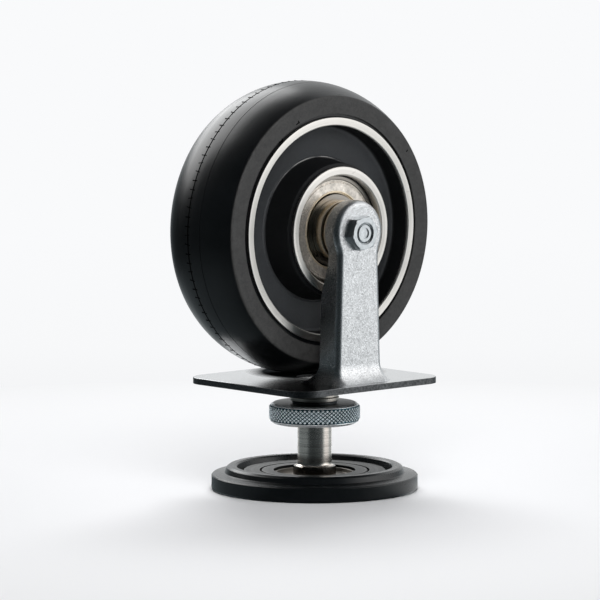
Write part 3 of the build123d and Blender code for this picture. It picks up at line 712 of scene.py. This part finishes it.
class CASTOR_OT_finishes(bpy.types.Operator):
    """Make the shared effects and every finish"""

    bl_idname = "castor.finishes"
    bl_label = "Make Finishes"

    def execute(self, context):
        colours = context.scene.castor_colours
        build_groups()
        make_rubber(colours)
        make_casting(colours)
        make_turned("Turned Ring", colours.turned, 2600.0, 0.30, contrast=0.14,
                    across=0.7)
        make_turned("Bearing Steel", scaled(colours.warm_steel, 0.7), 3000.0, 0.26)
        make_turned("Warm Sleeve", (0.92, 0.81, 0.66, 1.0), 1800.0, 0.22, contrast=0.45)
        make_turned("Warm Boss", scaled(colours.warm_steel, 1.35), 1500.0, 0.34,
                    on_axle=False, contrast=0.4)
        # Painted shade on the spindle below 12.5 mm and above 56 mm.
        make_turned("Nickel Spindle", colours.nickel, 1300.0, 0.22, on_axle=False,
                    contrast=0.42, shaded_ends=(12.5 * MM, 56.0 * MM))
        make_turned("Ring Face", colours.ring_grey, 1700.0, 0.5, on_axle=False,
                    contrast=0.25)
        make_turned("Warm Cup", scaled(colours.warm_steel, 0.5), 1100.0, 0.36,
                    on_axle=False, contrast=0.4)
        make_shield("Warm Shield", scaled(colours.warm_steel, 1.65),
                    (0.86, 0.74, 0.56, 1.0))
        make_sheet("Zinc Sheet", colours.zinc)
        make_edged_plate("Bright Zinc Plate", scaled(colours.zinc, 0.85),
                         (0.16, 0.165, 0.17, 1.0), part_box("plate")[1][2])
        make_plated("Blue Zinc", scaled(colours.blue_zinc, 0.92), 420.0, 0.3,
                    contrast=0.14, bump=0.02)
        make_lock_nut("Lock Nut Zinc", scaled(colours.blue_zinc, 1.2),
                      (0.04, 0.047, 0.05, 1.0))
        make_knurled("Knurled Zinc", (0.84, 0.95, 1.0, 1.0), (0.05, 0.12, 0.15, 1.0))
        make_plated("Dark Zinc", scaled(colours.blue_zinc, 0.2), 150.0, 0.4)
        make_plated("Strip Steel", scaled(colours.warm_steel, 0.7), 200.0, 0.32)
        make_moulded("Charcoal Moulding", colours.charcoal, 0.30)
        make_moulded("Sole Rubber", scaled(colours.rubber, 2.0), 0.7)
        make_moulded("Nylon", (0.72, 0.70, 0.63, 1.0), 0.45)
        make_moulded("Nick Black", (0.001, 0.001, 0.001, 1.0), 0.9, shine=0.0)
        return {"FINISHED"}


# ---------------------------------------------------------------- wheel
def tread_line(wheel):
    """Points over the crown, with the two mould lines cut in."""
    half = 0.5 * wheel.tyre_width / MM
    crown = wheel.crown_radius / MM
    top = (wheel.tread_radius - wheel.crown_radius) / MM
    cuts = []
    for place, width, depth in ((wheel.seam_offset / MM, 0.46, 0.6),
                                (wheel.flash_offset / MM, 0.2, 0.28)):
        cuts += [(place - width, 0.0), (place - 0.3 * width, depth),
                 (place + 0.3 * width, depth), (place + width, 0.0)]
    spaces = ceil(2 * half / 1.5)
    plain = [-half + 2 * half * step / spaces for step in range(1, spaces)]
    plain = [(offset, 0.0) for offset in plain
             if all(abs(offset - cut) > 0.7 for cut, depth in cuts)]
    return [(top + sqrt(crown * crown - offset * offset) - depth, offset)
            for offset, depth in sorted(plain + cuts)]


def black_bar(size, tilt, axis, place):
    """A small turned bar that shows as a dark mark."""
    deselect()
    bpy.ops.mesh.primitive_cube_add(size=MM, location=ORIGIN)
    bar = bpy.context.object
    edit_whole()
    bpy.ops.transform.resize(value=size, center_override=ORIGIN)
    bpy.ops.transform.rotate(value=tilt, orient_axis=axis, center_override=ORIGIN)
    bpy.ops.transform.translate(value=place)
    bpy.ops.object.mode_set(mode="OBJECT")
    return bar


def make_nicks(wheel):
    """Cross nicks round the parting line, four kinds in turn."""
    nicks = []
    for start, tilt, length, width, shift in (
            (0.0, 0.06, 4.3, 0.48, 0.2), (0.058, -0.12, 3.4, 0.40, 0.5),
            (0.123, 0.16, 4.8, 0.44, -0.2), (0.187, 0.02, 3.8, 0.55, 0.3)):
        nick = black_bar((width, length, 0.6), tilt, "Z", (
            0.0, WHEEL_MIDDLE + wheel.seam_offset + shift * MM,
            WHEEL_HEIGHT + wheel.tread_radius - 0.32 * MM))
        edit_whole()
        bpy.ops.transform.rotate(value=start, orient_axis="Y",
                                 center_override=WHEEL_CENTRE)
        bpy.ops.mesh.spin(steps=wheel.seam_nicks // 4, dupli=True, angle=2 * pi,
                          center=WHEEL_CENTRE, axis=(0.0, 1.0, 0.0))
        bpy.ops.object.mode_set(mode="OBJECT")
        nicks.append(nick)
    return nicks


class CASTOR_OT_tyre(bpy.types.Operator):
    """Model the tyre: crowned tread, two mould lines and flat side bands"""

    bl_idname = "castor.tyre"
    bl_label = "Tyre"

    def execute(self, context):
        wheel = context.scene.castor_wheel
        half = 0.5 * wheel.tyre_width / MM
        crown = wheel.crown_radius / MM
        top = wheel.tread_radius / MM - crown
        side = top + crown * cos(asin(half / crown))
        section = rounded(
            [(59.2, half, 0.3), (59.2, half - 1.3), (58.0, half - 1.3),
             (58.0, 1.3 - half), (59.2, 1.3 - half), (59.2, -half, 0.3),
             (side, -half, 1.6)] + tread_line(wheel) + [(side, half, 1.6)])
        spun_piece("tyre", section, "wheel", "tyre", "Moulded Rubber", smooth=28.0,
                   round_wheel=True, steps=TYRE_STEPS)

        marks = make_nicks(wheel)
        for across, up, length, tilt in (
                (-23.5, 55.5, 2.2, 0.5), (-22.7, 56.3, 1.6, -0.9),
                (-34.6, 46.9, 2.3, 0.2), (-34.0, 47.7, 1.6, 1.4),
                (-40.4, 40.9, 1.6, -0.5), (53.0, 37.5, 1.4, 0.9)):
            marks.append(black_bar((length, 0.3, 0.6), tilt, "Y", (
                across * MM, WHEEL_MIDDLE - (half - 0.12) * MM, WHEEL_HEIGHT + up * MM)))
        offset = wheel.seam_offset / MM
        seam = spin_section("seam_line", [
            (74.2, offset - 0.36), (74.96, offset - 0.36), (74.96, offset + 0.36),
            (74.2, offset + 0.36)], round_wheel=True, steps=TYRE_STEPS)
        for mark in marks:
            mark.select_set(True)
        seam.select_set(True)
        bpy.context.view_layer.objects.active = seam
        bpy.ops.object.join()
        finish_piece(seam, "wheel", "Nick Black")
        return {"FINISHED"}


class CASTOR_OT_centre(bpy.types.Operator):
    """Model the wheel centre: barrel, recessed web, tapered boss and housings"""

    bl_idname = "castor.centre"
    bl_label = "Wheel Centre"

    def execute(self, context):
        half = [(25.0, 13.0), (27.5, 13.0), (27.5, 26.0), (30.0, 26.0), (30.0, 28.9),
                (32.7, 28.9), (32.8, 28.2, 0.2), (34.3, 27.6, 0.4), (36.5, 13.3, 0.2),
                (37.2, 13.2, 0.3), (37.8, 12.6, 0.3), (53.3, 12.6, 2.5),
                (53.3, 22.5, 0.3), (58.0, 22.5)]
        other = [(p[0], -p[1], *p[2:]) for p in reversed(half)]
        spun_piece("wheel_centre", rounded(half + other), "wheel", "casting",
                   "Painted Casting", round_wheel=True)
        return {"FINISHED"}


class CASTOR_OT_turned_rings(bpy.types.Operator):
    """Model the bare turned rings on the rim and in the hub's mouths"""

    bl_idname = "castor.turned_rings"
    bl_label = "Turned Rings"

    def execute(self, context):
        rim = [(53.3, 22.5), (57.4, 22.5), (57.4, 24.1), (53.8, 24.1), (53.3, 23.5)]
        hub = [(28.3, 26.0), (30.0, 26.0), (30.0, 28.9), (32.7, 28.9), (32.7, 30.5),
               (29.0, 30.5), (28.3, 29.7)]
        for side, sign in SIDES:
            for ring, section in (("rim", rim), ("hub", hub)):
                spun_piece(f"{ring}_ring_{side}", facing(section, sign), "wheel",
                           "turned_rim", "Turned Ring", edge=0.22, round_wheel=True)
        return {"FINISHED"}


class CASTOR_OT_bearings(bpy.types.Operator):
    """Model the races and shields, and finish the balls and cages"""

    bl_idname = "castor.bearings"
    bl_label = "Bearings"

    def execute(self, context):
        shield = rounded([
            (25.95, 25.0), (25.95, 25.3, 0.2), (25.7, 25.66, 0.25), (25.15, 25.7, 0.2),
            (24.95, 25.3, 0.15), (24.55, 25.3, 0.15), (24.35, 25.7, 0.2),
            (20.15, 25.7), (20.0, 26.15, 0.25), (19.4, 26.15, 0.25), (19.35, 24.0),
            (18.85, 24.0), (18.85, 25.25, 0.3), (19.3, 25.05)])
        # The last point only steers the arc before it, and isn't part of the section.
        shield.pop()
        for side, sign in SIDES:
            spun_piece(f"shield_{side}", facing(shield, sign), "wheel", "shield_steel",
                       "Warm Shield", round_wheel=True)
            for race, body in (("outer_race", "wheel"), ("inner_race", "bracket")):
                copied_piece(f"{race}_{side}", body, "Bearing Steel")
            dress_node(f"balls_{side}", "Bearing Steel")
            dress_node(f"cage_{side}", "Strip Steel")
        return {"FINISHED"}


class CASTOR_OT_axle(bpy.types.Operator):
    """Model the axle's spacer and washer, and finish the bolt, the nut and the sleeves"""

    bl_idname = "castor.axle"
    bl_label = "Axle"

    def execute(self, context):
        spacer = [(5.4, -26.0), (15.8, -26.0), (15.8, -32.7), (13.2, -32.7),
                  (13.2, -33.7), (15.2, -33.7), (15.2, -36.3), (12.35, -36.3),
                  (12.35, -41.8), (5.4, -41.8)]
        spun_piece("leg_spacer", spacer, "bracket", "spacer_steel", "Warm Sleeve",
                   edge=0.35, round_wheel=True)
        washer = [(5.4, 26.0), (17.5, 26.0), (17.5, 29.0), (5.4, 29.0)]
        spun_piece("thrust_washer", washer, "bracket", "zinc_fastener", "Blue Zinc",
                   edge=0.35, round_wheel=True)
        # The bolt and the nut stand less proud of the leg than their nodes do.
        for node, drawn_in in (("axle_bolt", 1.5), ("axle_nut", 1.6)):
            piece = merged_copy(node)
            bpy.ops.object.mode_set(mode="EDIT")
            select_vertices(piece, lambda vertex: vertex.co.y < OUTER_ENDS)
            bpy.ops.transform.translate(value=(0.0, drawn_in * MM, 0.0))
            bpy.ops.object.mode_set(mode="OBJECT")
            finish_piece(piece, "bracket", "Blue Zinc", [node],
                         smooth=24.0)
        dress_node("axle_bush", "Warm Sleeve")
        dress_node("race_spacer", "Warm Sleeve")
        return {"FINISHED"}


# ---------------------------------------------------------------- bracket
class CASTOR_OT_leg(bpy.types.Operator):
    """Finish the pressed leg"""

    bl_idname = "castor.leg"
    bl_label = "Leg"

    def execute(self, context):
        copied_piece("leg", "bracket", "Zinc Sheet", smooth=26.0)
        return {"FINISHED"}


class CASTOR_OT_plate(bpy.types.Operator):
    """Finish the plate, and model the threaded boss and collar washer under it"""

    bl_idname = "castor.plate"
    bl_label = "Plate and Boss"

    def execute(self, context):
        copied_piece("plate", "bracket", "Bright Zinc Plate", smooth=40.0)
        boss = [(8.8, 48.0), (12.2, 48.0), (12.2, 55.0), (8.8, 55.0)]
        collar = [(9.3, 46.0), (12.6, 46.0), (12.6, 48.0), (9.3, 48.0)]
        for node, section in (("threaded_boss", boss), ("collar_washer", collar)):
            spun_piece(node, section, "bracket", "boss_steel", "Warm Boss", edge=0.35,
                       steps=96)
        return {"FINISHED"}


# ---------------------------------------------------------------- lock nut and spindle
def make_knurl(sizes, inner):
    """A band of diamonds, its points and valleys set like a chessboard."""
    columns, rows = 2 * sizes.knurl_columns, sizes.knurl_rows
    centre = (0.0, 0.0, 0.5 * (KNURL_LOW + KNURL_HIGH) * MM)
    step = 2 * pi / columns
    deselect()
    bpy.ops.mesh.primitive_cylinder_add(
        vertices=columns, radius=inner * MM, depth=(KNURL_HIGH - KNURL_LOW) * MM,
        location=centre)
    band = bpy.context.object
    band.name = "lock_nut_knurl"
    bpy.ops.object.transform_apply(location=True, rotation=True, scale=True)
    bpy.ops.object.mode_set(mode="EDIT")
    for row in range(1, rows):
        height = KNURL_LOW + (KNURL_HIGH - KNURL_LOW) * row / rows
        bpy.ops.mesh.select_all(action="SELECT")
        bpy.ops.mesh.bisect(plane_co=(0.0, 0.0, height * MM), plane_no=(0.0, 0.0, 1.0))

    def is_point(vertex):
        row = round((vertex.co.z / MM - KNURL_LOW) / (KNURL_HIGH - KNURL_LOW) * rows)
        turn = Vector((vertex.co.x, vertex.co.y)).angle_signed(Vector((0.0, 1.0)))
        return 0 < row < rows and (row + round(turn / step) % columns) % 2 == 0

    select_vertices(band, is_point)
    grow = KNURL_RIM / inner
    bpy.ops.transform.resize(value=(grow, grow, 1.0), center_override=centre)
    bpy.ops.mesh.select_all(action="SELECT")
    bpy.ops.mesh.quads_convert_to_tris(quad_method="SHORTEST_DIAGONAL")
    bpy.ops.object.mode_set(mode="OBJECT")
    return band


class CASTOR_OT_lock_nut(bpy.types.Operator):
    """Model the lock nut with its knurled rim, and finish its washer"""

    bl_idname = "castor.lock_nut"
    bl_label = "Lock Nut"

    def execute(self, context):
        sizes = context.scene.castor_foot
        inner = KNURL_RIM - sizes.knurl_depth / MM
        under = inner - 0.1
        body = [(8.8, 34.4), (21.2, 34.4), (22.8, 35.5), (under, 36.3), (under, 43.4),
                (22.6, 44.0), (21.2, 44.8), (8.8, 44.8)]
        spun_piece("lock_nut", body, "lock_nut_body", "zinc_fastener", "Lock Nut Zinc",
                   edge=0.2)
        finish_piece(make_knurl(sizes, inner), "lock_nut_body",
                     "Knurled Zinc", smooth=5.0)
        copied_piece("lock_washer", "lock_washer_body", "Dark Zinc")
        return {"FINISHED"}


class CASTOR_OT_spindle(bpy.types.Operator):
    """Finish the spindle and its circlip"""

    bl_idname = "castor.spindle"
    bl_label = "Spindle"

    def execute(self, context):
        copied_piece("spindle", "spindle_body", "Nickel Spindle",
                     smooth=28.0)
        copied_piece("spindle_clip", "spindle_body", "Strip Steel",
                     smooth=28.0)
        return {"FINISHED"}


# ---------------------------------------------------------------- foot
class CASTOR_OT_foot_disc(bpy.types.Operator):
    """Model the foot's moulded disc and its rubber sole"""

    bl_idname = "castor.foot_disc"
    bl_label = "Foot Disc and Sole"

    def execute(self, context):
        lip = context.scene.castor_foot.lip_height / MM
        disc = rounded([
            (10.0, 1.5), (10.0, 3.6, 0.2), (36.5, 3.6), (36.5, 7.4, 0.2),
            (38.8, 7.4, 0.5), (39.9, lip - 0.7, 0.3), (40.8, lip, 0.4), (43.9, lip, 0.5),
            (45.3, lip - 0.9, 0.8), (46.3, 8.8, 0.5), (52.4, 8.0, 0.3), (53.0, 7.4, 0.3),
            (53.0, 1.1, 0.3), (52.2, 0.3), (49.0, 0.3), (49.0, 1.5)])
        spun_piece("foot_disc", disc, "foot", "foot_body", "Charcoal Moulding", steps=200)
        sole = [(0.0, 0.0), (49.0, 0.0), (49.0, 1.5), (0.0, 1.5)]
        spun_piece("foot_sole", sole, "foot", "sole_rubber", "Sole Rubber", edge=0.2,
                   closed=False)
        return {"FINISHED"}


class CASTOR_OT_foot_rings(bpy.types.Operator):
    """Model the foot's two flat rings and the cup that turns in them"""

    bl_idname = "castor.foot_rings"
    bl_label = "Foot Rings and Cup"

    def execute(self, context):
        outer = [(28.2, 3.6), (36.4, 3.6), (36.4, 9.9), (28.2, 9.9)]
        spun_piece("foot_ring", outer, "foot", "foot_ring_steel", "Ring Face", edge=0.3)
        inner = [(21.0, 4.6), (27.2, 4.6), (27.2, 9.9), (21.0, 9.9)]
        spun_piece("swivel_ring", inner, "swivel", "foot_ring_steel", "Ring Face",
                   edge=0.3)
        cup = [(6.05, 4.6), (21.0, 4.6), (21.0, 8.7), (19.4, 8.7), (19.4, 6.6),
               (6.05, 6.6)]
        spun_piece("swivel_cup", cup, "swivel", "cup_steel", "Warm Cup", edge=0.2)
        dress_node("glide_washer", "Nylon")
        return {"FINISHED"}


# ---------------------------------------------------------------- stage
def soft_light(name, place, aim, width, height, power, diffuse=True, mirrored=False):
    """A rectangular lamp that faces a point, and lights matt or shining surfaces."""
    data = bpy.data.lights.new(name, "AREA")
    data.shape = "RECTANGLE"
    data.size = width
    data.size_y = height
    data.energy = power
    lamp = bpy.data.objects.new(name, data)
    bpy.context.collection.objects.link(lamp)
    lamp.location = place
    toward = Vector(aim) - Vector(place)
    lamp.rotation_euler = toward.to_track_quat("-Z", "Y").to_euler()
    lamp.visible_camera = False
    lamp.visible_diffuse = diffuse
    lamp.visible_glossy = mirrored


def light_world():
    """White to the camera, dim to matt surfaces, and the studio ring to glossy rays."""
    world = bpy.data.worlds.new("Studio")
    bpy.context.scene.world = world
    world.use_nodes = True
    tree = world.node_tree
    rays = wire(tree, "LightPath").outputs
    toward = wire(tree, "TexCoord").outputs["Generated"]
    ring = effect(tree, "Studio Ring", Direction=toward)
    height = height_of(tree, toward)
    room = tinted(tree, ranged(tree, height, 0.06, 0.30), ring["Low"], ring["High"])
    room = tinted(tree, ranged(tree, height, 0.74, 0.88), room, (0.06, 0.062, 0.065, 1.0))
    seen = maths(tree, "MAXIMUM", rays["Is Glossy Ray"], rays["Is Transmission Ray"])
    colour = tinted(tree, seen, (0.07, 0.072, 0.075, 1.0), room)
    colour = tinted(tree, rays["Is Camera Ray"], colour, (0.955, 0.96, 0.965, 1.0))
    feed(tree, tree.nodes["Background"], Color=colour)


def lay_floor():
    """A pale floor that fades into the white; its far tones suit the front view only."""
    deselect()
    bpy.ops.mesh.primitive_circle_add(vertices=128, radius=9.0, fill_type="NGON",
                                      location=ORIGIN)
    floor = bpy.context.object
    floor.name = "floor"
    tree, shader, place = start_material("Pale Floor", Roughness=0.9,
                                         Specular_IOR_Level=0.1,
                                         Base_Color=(0.85, 0.855, 0.87, 1.0))
    radius = effect(tree, "Round Axis", Vector=place)["Radius"]
    rays = wire(tree, "LightPath").outputs
    away = wire(tree, "VectorMath", {0: place, 1: CAMERA_AHEAD},
                operation="DOT_PRODUCT").outputs["Value"]
    # Painted shade: the floor's glow is darker toward the camera's side.
    tone = ramp(tree, ranged(tree, away, -0.35, 1.3), (
        (0.0, 0.80), (0.15, 0.83), (0.25, 0.84), (0.32, 0.87), (0.42, 0.91),
        (0.58, 0.94), (1.0, 0.955)))
    tone = tinted(tree, 1.0, tone, (0.993, 1.0, 1.012, 1.0), "MULTIPLY")
    ring = effect(tree, "Studio Ring", Direction=place)
    mirrored = tinted(tree, ranged(tree, radius, 0.25, 0.50), ring["Near"], ring["Low"])
    tone = tinted(tree, rays["Is Glossy Ray"], tone, mirrored)
    glow = wire(tree, "Emission", {"Color": tone}).outputs[0]
    far = product_of(tree, ranged(tree, radius, 0.10, 0.45), rays["Is Camera Ray"])
    share = maths(tree, "MAXIMUM", far, rays["Is Glossy Ray"])
    mixed = wire(tree, "MixShader", {0: share, 1: shader.outputs[0], 2: glow}).outputs[0]
    feed(tree, tree.nodes["Material Output"], Surface=mixed)
    dress(floor, "Pale Floor")


def place_camera(stage):
    """A camera on its bearing, aimed beside and above the frame's origin."""
    side = Vector((cos(stage.azimuth), sin(stage.azimuth), 0.0))
    back = Vector((sin(stage.azimuth) * cos(stage.elevation),
                   -cos(stage.azimuth) * cos(stage.elevation), sin(stage.elevation)))
    up = back.cross(side)
    place = side * stage.aim_side + up * stage.aim_up + back * stage.distance
    data = bpy.data.cameras.new("camera")
    data.lens = stage.lens
    data.sensor_width = 36.0
    camera = bpy.data.objects.new("camera", data)
    camera.matrix_world = Matrix((
        (side.x, up.x, back.x, place.x), (side.y, up.y, back.y, place.y),
        (side.z, up.z, back.z, place.z), (0.0, 0.0, 0.0, 1.0)))
    bpy.context.collection.objects.link(camera)
    bpy.context.scene.camera = camera


class CASTOR_OT_stage(bpy.types.Operator):
    """Lay the floor, set the lamps and the world, and place the camera"""

    bl_idname = "castor.stage"
    bl_label = "Stage"

    def execute(self, context):
        lay_floor()
        light_world()
        middle = (0.0, 0.0, 0.10)
        soft_light("fill", (-0.86, -0.90, 0.37), middle, 0.8, 0.8, 9.2)
        soft_light("key", (-0.26, -0.36, 0.48), middle, 0.30, 0.30, 1.7)
        soft_light("back_light", (0.50, 0.56, 0.80), middle, 0.70, 0.50, 12.0)
        soft_light("sheen_box", (0.03, 0.69, 0.715), (0.0, 0.011, 0.134), 0.95, 0.85,
                   9.0, diffuse=False, mirrored=True)
        soft_light("front_card", (0.41, -0.57, 0.22), (0.0, -0.03, 0.13), 0.24, 0.42,
                   0.15, mirrored=True)
        place_camera(context.scene.castor_stage)
        context.scene.view_settings.view_transform = "Standard"
        return {"FINISHED"}


# ---------------------------------------------------------------- add-on
PIECES = (CASTOR_OT_finishes, CASTOR_OT_tyre, CASTOR_OT_centre, CASTOR_OT_turned_rings,
          CASTOR_OT_bearings, CASTOR_OT_axle, CASTOR_OT_leg, CASTOR_OT_plate,
          CASTOR_OT_lock_nut, CASTOR_OT_spindle, CASTOR_OT_foot_disc,
          CASTOR_OT_foot_rings, CASTOR_OT_stage)

SETTINGS = (("castor_wheel", CastorWheelSizes), ("castor_foot", CastorFootSizes),
            ("castor_colours", CastorColours), ("castor_stage", CastorStageSizes))


class CASTOR_PT_panel(bpy.types.Panel):
    """Lists the pieces in the order in which they are made"""

    bl_idname = "CASTOR_PT_panel"
    bl_label = "Levelling Castor"
    bl_space_type = "VIEW_3D"
    bl_region_type = "UI"
    bl_category = "Castor"

    def draw(self, context):
        for group, settings in SETTINGS:
            box = self.layout.box()
            for name in settings.__annotations__:
                box.prop(getattr(context.scene, group), name)
        for piece in PIECES:
            self.layout.operator(piece.bl_idname)


def register():
    """Register the settings, the operators and the panel."""
    for name, settings in SETTINGS:
        bpy.utils.register_class(settings)
        setattr(bpy.types.Scene, name, bpy.props.PointerProperty(type=settings))
    for piece in PIECES:
        bpy.utils.register_class(piece)
    bpy.utils.register_class(CASTOR_PT_panel)


def unregister():
    """Take away what register added."""
    bpy.utils.unregister_class(CASTOR_PT_panel)
    for piece in reversed(PIECES):
        bpy.utils.unregister_class(piece)
    for name, settings in reversed(SETTINGS):
        delattr(bpy.types.Scene, name)
        bpy.utils.unregister_class(settings)


def main():
    """Make every piece in order."""
    register()
    for piece in PIECES:
        group, name = piece.bl_idname.split(".")
        getattr(getattr(bpy.ops, group), name)()


if __name__ == "__main__":
    main()
